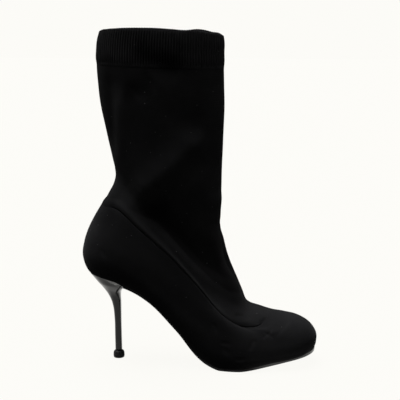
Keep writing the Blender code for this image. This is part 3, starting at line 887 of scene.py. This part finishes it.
def new_material(name, group, inputs, bump, specular, sheen=0.0, coat=0.0):
    """Principled material driven by one of the look groups; its constants sit on the shader itself. bump holds a
    strength and a depth. coat is a constant, or "mask" where the piece's own mask says how glossy it is."""
    material = bpy.data.materials.new(name)
    material.use_nodes = True
    tree = material.node_tree
    position = add_node(tree, "ShaderNodeTexCoord").outputs["Object"]
    look = add_node(tree, "ShaderNodeGroup", {"Position": position, **inputs}, node_tree=group).outputs
    strength, depth = bump
    relief = {"Strength": strength, "Distance": depth * MM, "Height": look["Height"]}
    shader_inputs = {
        "Base Color": look["Color"],
        "Roughness": look["Roughness"],
        "Normal": add_node(tree, "ShaderNodeBump", relief).outputs["Normal"],
        "Specular IOR Level": specular,
        "Sheen Weight": sheen,
        "Sheen Roughness": SHEEN_ROUGHNESS,
        "Coat Weight": coat,
        "Coat Roughness": COAT_ROUGHNESS,
    }
    feed(tree, tree.nodes["Principled BSDF"], shader_inputs)
    return material


def cloth_material(name, dark, light, bump, sheen):
    """Knit between a painted-shade colour and a painted-light colour; the mesh's layers give its stitches, and its
    scuffs with painted light and shade.
    """
    lint = bpy.context.scene.boot_colours.lint
    inputs = {"Dark": opaque(dark), "Light": opaque(light), "Lint": opaque(lint)}
    inputs.update({"Stitches": "stitches", "Scuff": "mask"})
    group = look_group(knit_look, Vector="Stitches Position", Color="Dark Light Lint", Float="Scuff")
    return new_material(name, group, inputs, bump, CLOTH_SPECULAR, sheen=sheen)


def moulded_material(name, fresh, worn, roughness, bump, specular, coat=0.0):
    """Moulded surface; roughness holds that of its smooth and of its rubbed patches."""
    smoother, rougher = roughness
    inputs = {"Fresh": opaque(fresh), "Worn": opaque(worn), "Smooth": smoother, "Rubbed": rougher}
    group = look_group(moulded_look, Vector="Position", Color="Fresh Worn", Float="Smooth Rubbed")
    return new_material(name, group, inputs, bump, specular, coat=coat)


def opaque(colour):
    return (*colour, 1.0)


def spread(first, last, spacing):
    """Even levels from first to last, about a spacing apart."""
    return list(np.linspace(first, last, max(2, round(abs(last - first) / spacing) + 1)))


class BOOT_OT_knit_sock(bpy.types.Operator):
    """The sock from the sole to the lower edge of the cuff: a knit wall with its folds, in one closed mesh"""

    bl_idname = "boot.knit_sock"
    bl_label = "Knit sock"

    def execute(self, context):
        sizes, colours = context.scene.boot_sizes, context.scene.boot_colours
        seam, top = KNOTS[TOPLINE], KNOTS[CUFF] + 3.0
        # The rows lie close along the seam and further apart elsewhere.
        outer = spread(0.0, seam - 4.0, 4.0) + spread(seam - 2.4, seam + 2.4, 0.4)
        outer += spread(seam + 3.2, seam + 18.0, 1.0) + spread(seam + 19.6, top, 1.8)
        inner = spread(top, seam, 4.0) + spread(seam - 4.0, 0.0, 4.0)
        levels = np.array(outer + inner + outer[:1])
        offsets = np.array([0.0] * len(outer) + [-KNIT_WALL] * len(inner) + [0.0])

        def place(share, row):
            level = levels[row]
            return stand_off(level, share, offsets[row] + knit_relief(level, share, sizes))

        def stitches(share, row):
            wale = np.interp(share, ARC_TURNS, ARC_SHARES) * sizes.wale_count
            return np.stack([wale, levels[row] * MM / sizes.course_pitch], axis=-1)

        def mask(share, row):
            near = ease(*THROAT_PLACES, place_of(share))
            near = THROAT_LIGHT * near * ease(*THROAT_LEVELS, levels[row] - seam)
            # Painted light and shade of the stretches, with the scuffs, on top of the lighter throat
            return near + tone(surface(levels[row], share))

        obj = mapped_grid("knit_sock", SOCK_COLUMNS, len(levels) - 1, place, stitches, mask)
        material = cloth_material("sock_knit", colours.knit_dark, colours.knit_light, (0.55, 0.35), 0.02)
        put_on(obj, "sock_upper", material)
        return {"FINISHED"}


class BOOT_OT_rib_cuff(bpy.types.Operator):
    """The ribbed cuff: every rib is modelled, and the ribs end in small teeth along the rim"""

    bl_idname = "boot.rib_cuff"
    bl_label = "Ribbed cuff"

    def execute(self, context):
        sizes, colours = context.scene.boot_sizes, context.scene.boot_colours
        low, top = KNOTS[CUFF] - CUFF_OVERLAP, KNOTS[COLLAR] - RIM_DROP
        outside, inside = CUFF_STEP + RIB_SWELL, -KNIT_WALL
        middle, radius = (outside + inside) / 2, (outside - inside) / 2
        start, full = CUFF_TAPER
        rows = [(low, inside, 0.0), (low, -0.3, 0.0), (low + 0.3, 0.02, 0.0), (low + start, CUFF_FOOT, 0.0)]
        for rise in (3.0, 4.5, 6.0, 7.5):
            rows.append((low + rise, CUFF_FOOT + (outside - CUFF_FOOT) * ease(start, full, rise), 0.0))
        rows += [(level, outside, 0.0) for level in spread(low + full, top, 1.6)]
        for step in range(1, RIM_STEPS):
            angle = math.pi * step / RIM_STEPS
            rows.append((top, middle + radius * math.cos(angle), radius * math.sin(angle)))
        rows += [(level, inside, 0.0) for level in spread(top, low, 3.2)]
        levels, offsets, lifts = (np.array(column) for column in zip(*rows))

        def place(share, row):
            level = levels[row]
            turn = np.interp(share, ARC_SHARES, ARC_TURNS)
            relief = knit_relief(level, turn, sizes)
            rib = self.rib(share, sizes)
            grown = ease(low, low + RIB_GROWTH, level) * np.where(offsets[row] > middle, 1.0, INNER_RIB)
            depth = sizes.rib_depth / MM * (rib - RIB_LEVEL) * grown
            points = stand_off(level, turn, offsets[row] + relief + depth)
            points[:, 2] += lifts[row] * shifted(TOOTH_LIFT, rib)
            return points

        def stitches(share, row):
            wale = share * sizes.rib_count * 2
            return np.stack([wale, levels[row] * MM / sizes.course_pitch], axis=-1)

        def mask(share, row):
            turn = np.interp(share, ARC_SHARES, ARC_TURNS)
            # Painted light on the rib crowns, painted shade in the grooves, on the rim and at the foot, then the
            # stretches' painted light and shade
            light = self.rib(share, sizes) * ease(low, low + 4.0, levels[row]) - RIM_PAINTED_SHADE * (lifts[row] > 0)
            light -= FOOT_PAINTED_SHADE * ease(low + 2.5, low + 0.5, levels[row])
            return light + tone(surface(levels[row], turn))

        columns = sizes.rib_count * COLUMNS_PER_RIB
        obj = mapped_grid("rib_cuff", columns, len(rows) - 1, place, stitches, mask)
        material = cloth_material("rib_knit", colours.rib_dark, colours.rib_light, (0.4, 0.3), 0.02)
        put_on(obj, "sock_upper", material)
        return {"FINISHED"}

    def rib(self, share, sizes):
        """Height of the ribs at shares of the girth, from 0 in a groove to 1 on a crown."""
        phase = np.abs(2 * (share * sizes.rib_count % 1.0) - 1)
        return 1 - phase**RIB_SHARPNESS


class BOOT_OT_foot_cover(bpy.types.Operator):
    """The pump-shaped cover of the foot, with a rolled top edge, a short nap and small scuffs"""

    bl_idname = "boot.foot_cover"
    bl_label = "Foot cover"

    def execute(self, context):
        sizes, colours = context.scene.boot_sizes, context.scene.boot_colours
        seam = KNOTS[TOPLINE]
        rows = [(level, SHELL_OUTSIDE) for level in spread(0.0, seam - 2.6, 1.3)]
        rows += [(seam - drop, SHELL_GAP + SHELL_WALL * share) for drop, share in self.edge()]
        rows += [(level, SHELL_GAP) for level in spread(seam - 0.3, 0.0, 5.0)]
        rows.append(rows[0])
        levels, offsets = (np.array(column) for column in zip(*rows))

        def place(share, row):
            level, where = levels[row], place_of(share)
            outside = offsets[row] > SHELL_OUTSIDE - 0.01
            relief = mark_relief(surface(level, share))[0] * outside
            relief += TIP_FULLNESS * ease(*TIP_PLACES, where) * ease(*TIP_LEVELS, level)
            wall = ease(*BALL_PLACES, where) + TOE_FULLNESS * ease(*TOE_PLACES, where)
            relief += wall * ease(*WALL_FRONT, where) * band(WALL_LEVELS, level)
            relief -= TUCK_DEPTH * ease(*TUCK_PLACES, where) * ease(*TUCK_LEVELS, level) * outside
            return stand_off(level, share, offsets[row] + relief)

        def stitches(share, row):
            wale = np.interp(share, ARC_TURNS, ARC_SHARES) * sizes.wale_count * COVER_WALES
            return np.stack([wale, levels[row] * MM / sizes.course_pitch * COVER_COURSES], axis=-1)

        def mask(share, row):
            # Painted light and shade of the stretches, with the scuffs
            return tone(surface(levels[row], share))

        obj = mapped_grid("foot_cover", COVER_COLUMNS, len(rows) - 1, place, stitches, mask)
        material = cloth_material("cover_cloth", colours.cover_dark, colours.cover_light, (0.3, 0.2), 0.03)
        put_on(obj, "foot_shell", material)
        return {"FINISHED"}

    def edge(self):
        """Drop under the top edge and share of the wall, round the rolled edge."""
        angles = [math.pi / 2 * step / ROLL_STEPS for step in range(ROLL_STEPS + 1)]
        span = 1 - ROLL_TOP
        return [(ROLL_HEIGHT * (1 - math.sin(angle)), ROLL_TOP + span * math.cos(angle)) for angle in angles]


def outline(turns, inset, depth):
    """Loop of the sole in plan. inset is taken off its margin; depth runs from 0 on top to 1 underneath."""
    flat = np.zeros(len(turns))
    points = surface(flat, turns)
    out = normals(flat, turns)
    rims = [points + offset * out for offset in (-KNIT_WALL, 0.0, SHELL_OUTSIDE)]
    top = np.min([rim[:, 2] for rim in rims], axis=0) - SOLE_GAP
    out = out * (1, 1, 0)
    out = out / np.linalg.norm(out, axis=1, keepdims=True)
    fore = np.clip((points[:, 0] - along(WAIST_END)) / (along(FOREPART_START) - along(WAIST_END)), 0, 1)
    toe = ease(*map(along, TOE_MARGIN_X), points[:, 0])
    margin = WAIST_MARGIN + fore * (SOLE_MARGIN - WAIST_MARGIN) + TOE_MARGIN * toe - inset
    bottom = bottom_height(points[:, 0]) - WAIST_DEPTH - fore * (SOLE_DEPTH - WAIST_DEPTH)
    points = points + margin[:, None] * out
    lip = LIP_HEIGHT * ease(*map(along, LIP_X), points[:, 0])
    lip = lip * ease(*LIP_INSETS, inset) * ease(*LIP_DEPTHS, depth)
    points[:, 2] = top + depth * (np.maximum(bottom, 0.0) - top) + lip
    return points


def pillow(rows, turns_of, loop):
    """place() of a flat closed piece: each row is inset, depth and how far it is drawn to the middle line."""
    insets, depths, drawn = (np.array(column) for column in zip(*rows))

    def place(share, row):
        turns = turns_of(share)
        here = loop(turns, insets[row], depths[row])
        there = loop(1 - turns, insets[row], depths[row])
        middle = (here + there) / 2
        return here + (middle - here) * drawn[row][:, None]

    return place


class BOOT_OT_sole(bpy.types.Operator):
    """The thin sole from the breast of the heel to the toe, with rounded edges"""

    bl_idname = "boot.sole"
    bl_label = "Sole"

    def execute(self, context):
        colours = context.scene.boot_colours
        back, front = ROWS[0, 0], ROWS[0, 2]
        first = math.acos(1 - 2 * (BREAST_X - back) / (front - back)) / (2 * math.pi)
        place = pillow(SOLE_ROWS, lambda share: first + share * (1 - 2 * first), outline)

        def shine(share, row):
            return ease(*map(along, GLOSS_X), place(share, row)[:, 0]) * ease(*GLOSS_LOOPS, row)

        obj = mapped_grid("sole", SOLE_COLUMNS, len(SOLE_ROWS) - 1, place, mask=shine)
        look = (colours.sole, colours.sole_worn, (0.3, 0.5))
        material = moulded_material("sole_edge", *look, (0.25, 0.2), 0.10, coat="mask")
        put_on(obj, "outsole", material)
        return {"FINISHED"}


class BOOT_OT_insole(bpy.types.Operator):
    """The insole inside the sock, covered in thin leather"""

    bl_idname = "boot.insole"
    bl_label = "Insole"

    def execute(self, context):
        colours = context.scene.boot_colours
        edge = -KNIT_WALL - INSOLE_GAP

        def loop(turns, inset, depth):
            level = KNOTS[1] * shifted(INSOLE_LEVELS, depth)
            return stand_off(level, turns, edge - inset)

        place = pillow(INSOLE_ROWS, lambda share: share, loop)
        obj = mapped_grid("insole_lining", INSOLE_COLUMNS, len(INSOLE_ROWS) - 1, place)
        group = look_group(leather_look, Vector="Position", Color="Fresh Worn")
        inputs = {"Fresh": opaque(colours.insole), "Worn": opaque(colours.insole_worn)}
        material = new_material("insole_leather", group, inputs, (0.3, 0.15), 0.4)
        put_on(obj, "insole", material)
        return {"FINISHED"}


class BOOT_OT_pin_heel(bpy.types.Operator):
    """The glossy heel: a flared cup under the seat, drawn down to a slim pin"""

    bl_idname = "boot.pin_heel"
    bl_label = "Pin heel"

    def execute(self, context):
        colours = context.scene.boot_colours
        sizes = np.array([row[1:] for row in HEEL_ROWS])
        steps = np.hypot(np.diff(sizes[:, 0]), np.diff(sizes[:, 1]))
        passed = np.concatenate([[0.0], np.cumsum(steps)])
        spots = spread(passed[1], passed[2], 0.8) + spread(passed[2] + 1.2, passed[-1], 1.5)
        # Each row: spot down the heel, share of its width, of the rim's climb, gap to the cover, hold to the rim.
        rim = ((0.0, 0.04), (0.5, 0.04), (1.0, 0.05), (1.0, 0.22))
        rows = [(0.0, 0.0, 0.0, 0.0, 0.0)]
        rows += [(0.0, 1.0, climb, gap, 1.0) for climb, gap in rim]
        rows += [(passed[1] * (1 - hold), 1.0, 1.0, 0.3, hold) for hold in (0.94, 0.8, 0.6, 0.4, 0.2)]
        rows += [(spot, 1.0, 0.0, 0.0, 0.0) for spot in spots] + [(passed[-1], 0.0, 0.0, 0.0, 0.0)]
        spots, wide, climbs, gaps, holds = (np.array(column) for column in zip(*rows))

        def place(share, row):
            points = self.loop(share, smooth(passed, sizes, spots[row]), wide[row])
            climbed, hold = self.rim(share, climbs[row], gaps[row])
            return points + (climbed - points) * (hold * holds[row])[:, None]

        obj = mapped_grid("pin_heel", HEEL_COLUMNS, len(rows) - 1, place)
        look = (colours.heel, colours.heel_worn, (0.1, 0.2))
        material = moulded_material("heel_gloss", *look, (0.06, 0.3), 0.225, coat=0.15)
        put_on(obj, "heel", material)
        return {"FINISHED"}

    def rim(self, share, climb, gap):
        """Points of the rim on the cover at shares of its climb, and how far the heel holds to them there."""
        part = np.abs(2 * share - 1)
        shares, turns, climbs = (np.array(column) for column in zip(*HEEL_RIM))
        turn = np.interp(part, shares, turns) * np.sign(share - 0.5)
        height = smooth(shares, climbs, part)
        level = np.clip(climb, 0, 1) * np.maximum(height, 0)
        points = stand_off(level, turn, SHELL_OUTSIDE + gap)
        return points, ease(*RIM_END, part)

    def loop(self, share, row, wide):
        """Outline of the heel at one row: round behind, squarer in front, in a plane tilted along the seat."""
        back_x, back_z, front_x, front_z, half_width, square, follow = row.T
        middle = front_x - np.minimum(half_width, (front_x - back_x) / 2)
        angle = 2 * math.pi * share
        cosine, sine = np.cos(angle), np.sin(angle)
        ahead = cosine > 0
        power = np.where(ahead, 2 / square, 1.0)
        reach = np.where(ahead, front_x - middle, middle - back_x)
        blunt = 1 + PIN_BLUNTNESS * ease(*PIN_SQUARES, square)
        bow = np.where(ahead, np.minimum(blunt * np.abs(cosine) ** power, 1.0), np.abs(cosine))
        x = middle + wide * reach * np.sign(cosine) * bow
        y = wide * half_width * np.sign(sine) * np.abs(sine) ** power
        part = (x - back_x) / (front_x - back_x)
        chord = bottom_height(back_x) * (1 - part) + bottom_height(front_x) * part
        z = back_z + part * (front_z - back_z) + follow * (bottom_height(x) - chord)
        return np.stack([x, y, z], axis=-1)


class BOOT_OT_heel_tip(bpy.types.Operator):
    """The turned tip that the pin stands on"""

    bl_idname = "boot.heel_tip"
    bl_label = "Heel tip"

    def execute(self, context):
        colours = context.scene.boot_colours
        bm = bmesh.new()
        verts = [bm.verts.new(((TIP_X + point.radius) * MM, 0.0, point.z * MM)) for point in TIP_PROFILE]
        edges = [bm.edges.new(pair) for pair in zip(verts, verts[1:])]
        bmesh.ops.spin(
            bm,
            geom=verts + edges,
            cent=(TIP_X * MM, 0.0, 0.0),
            axis=(0.0, 0.0, 1.0),
            angle=2 * math.pi,
            steps=TIP_COLUMNS,
            use_merge=True,
        )
        # A spin's faces come in another order on each run.
        bm.verts.index_update()
        bm.faces.sort(key=lambda face: face.verts[0].index)
        obj = closed_piece("tip_piece", bm)
        look = (colours.sole, colours.sole_worn, (0.45, 0.6))
        material = moulded_material("tip_satin", *look, (0.15, 0.2), 0.12)
        put_on(obj, "heel_tip", material)
        return {"FINISHED"}


class BOOT_OT_stage(bpy.types.Operator):
    """A pale floor and room, soft light from above and the camera"""

    bl_idname = "boot.stage"
    bl_label = "Stage"

    def execute(self, context):
        scene, stage = context.scene, context.scene.boot_stage
        scene.view_settings.view_transform = "Standard"
        self.room(scene, stage, opaque(scene.boot_colours.backdrop))
        self.floor(opaque(scene.boot_colours.backdrop))
        for sun in SUNS:
            self.sun(sun.name, sun.toward, getattr(stage, sun.strength), sun.spread_deg)
        camera = bpy.data.cameras.new("camera")
        camera.lens = stage.lens
        camera.sensor_fit = "HORIZONTAL"
        camera.sensor_width = 36.0
        camera.clip_start = 0.01
        eye = bpy.data.objects.new("camera", camera)
        eye.location = stage.camera_place
        way = Vector(stage.camera_aim) - Vector(stage.camera_place)
        eye.rotation_euler = way.to_track_quat("-Z", "Y").to_euler()
        scene.collection.objects.link(eye)
        scene.camera = eye
        return {"FINISHED"}

    def sun(self, name, toward, strength, spread_deg):
        light = bpy.data.lights.new(name, "SUN")
        light.energy = strength
        light.angle = math.radians(spread_deg)
        obj = bpy.data.objects.new(name, light)
        obj.rotation_euler = Vector(toward).to_track_quat("Z", "Y").to_euler()
        bpy.context.scene.collection.objects.link(obj)

    def glow(self, tree, dim, mirrored, seen):
        """Strength of the pale surroundings: for the light they give, in reflections and before the camera."""
        path = add_node(tree, "ShaderNodeLightPath").outputs
        level = dim
        for ray, strength in (("Is Glossy Ray", mirrored), ("Is Camera Ray", seen)):
            level = map_range(tree, path[ray], (0.0, 1.0), (level, strength))
        return level

    def ellipse(self, tree, patch):
        """Strength of the floor's glow, which changes inside a soft ellipse."""
        position = add_node(tree, "ShaderNodeTexCoord").outputs["Object"]
        scale = (1 / patch.reach[0], 1 / patch.reach[1], 0.0)
        moved = (-patch.middle[0] * scale[0], -patch.middle[1] * scale[1], 0.0)
        inputs = {"Vector": position, "Location": moved, "Scale": scale}
        centred = add_node(tree, "ShaderNodeMapping", inputs).outputs[0]
        away = add_node(tree, "ShaderNodeVectorMath", {0: centred}, operation="LENGTH").outputs["Value"]
        return map_range(tree, away, PATCH_EDGE, (patch.inside, patch.outside))

    def room(self, scene, stage, colour):
        world = bpy.data.worlds.new("room")
        world.use_nodes = True
        tree = world.node_tree
        back = tree.nodes["Background"]
        back.inputs["Color"].default_value = colour
        tree.links.new(self.glow(tree, stage.ambient, stage.mirrored, ROOM_SEEN), back.inputs["Strength"])
        scene.world = world

    def floor(self, colour):
        bm = bmesh.new()
        bmesh.ops.create_grid(bm, x_segments=8, y_segments=8, size=FLOOR_HALF_SIDE)
        bmesh.ops.translate(bm, verts=bm.verts, vec=(0.0, 0.0, -FLOOR_DROP))
        mesh = bpy.data.meshes.new("floor")
        bm.to_mesh(mesh)
        bm.free()
        obj = bpy.data.objects.new("floor", mesh)
        bpy.context.scene.collection.objects.link(obj)
        material = bpy.data.materials.new("floor_paper")
        material.use_nodes = True
        tree = material.node_tree
        shader_inputs = {
            "Base Color": FLOOR_COLOUR,
            "Roughness": 1.0,
            "Specular IOR Level": 0.0,
            "Emission Color": colour,
            "Emission Strength": self.glow(tree, self.ellipse(tree, BOUNCE), self.ellipse(tree, SHADE), FLOOR_SEEN),
        }
        feed(tree, tree.nodes["Principled BSDF"], shader_inputs)
        mesh.materials.append(material)


class BOOT_PT_panel(bpy.types.Panel):
    """Lists the steps that build the boot"""

    bl_idname = "BOOT_PT_panel"
    bl_label = "Knit sock boot"
    bl_space_type = "VIEW_3D"
    bl_region_type = "UI"
    bl_category = "Boot"

    def draw(self, context):
        for step in STEPS:
            self.layout.operator(step.bl_idname)
        for name, group in GROUPS.items():
            for key in group.__annotations__:
                self.layout.prop(getattr(context.scene, name), key)


STEPS = (
    BOOT_OT_knit_sock,
    BOOT_OT_rib_cuff,
    BOOT_OT_foot_cover,
    BOOT_OT_sole,
    BOOT_OT_insole,
    BOOT_OT_pin_heel,
    BOOT_OT_heel_tip,
    BOOT_OT_stage,
)
GROUPS = {"boot_sizes": BootSizes, "boot_colours": BootColours, "boot_stage": BootStage}
CLASSES = (*GROUPS.values(), *STEPS, BOOT_PT_panel)


def register():
    for cls in CLASSES:
        bpy.utils.register_class(cls)
    for name, group in GROUPS.items():
        setattr(bpy.types.Scene, name, bpy.props.PointerProperty(type=group))


def unregister():
    for name in GROUPS:
        delattr(bpy.types.Scene, name)
    for cls in reversed(CLASSES):
        bpy.utils.unregister_class(cls)


def clear_startup():
    for name in ("Cube", "Light", "Camera"):
        if name in bpy.data.objects:
            bpy.data.objects.remove(bpy.data.objects[name])


def main():
    clear_startup()
    register()
    bpy.ops.boot.knit_sock()
    bpy.ops.boot.rib_cuff()
    bpy.ops.boot.foot_cover()
    bpy.ops.boot.sole()
    bpy.ops.boot.insole()
    bpy.ops.boot.pin_heel()
    bpy.ops.boot.heel_tip()
    bpy.ops.boot.stage()


if __name__ == "__main__":
    main()
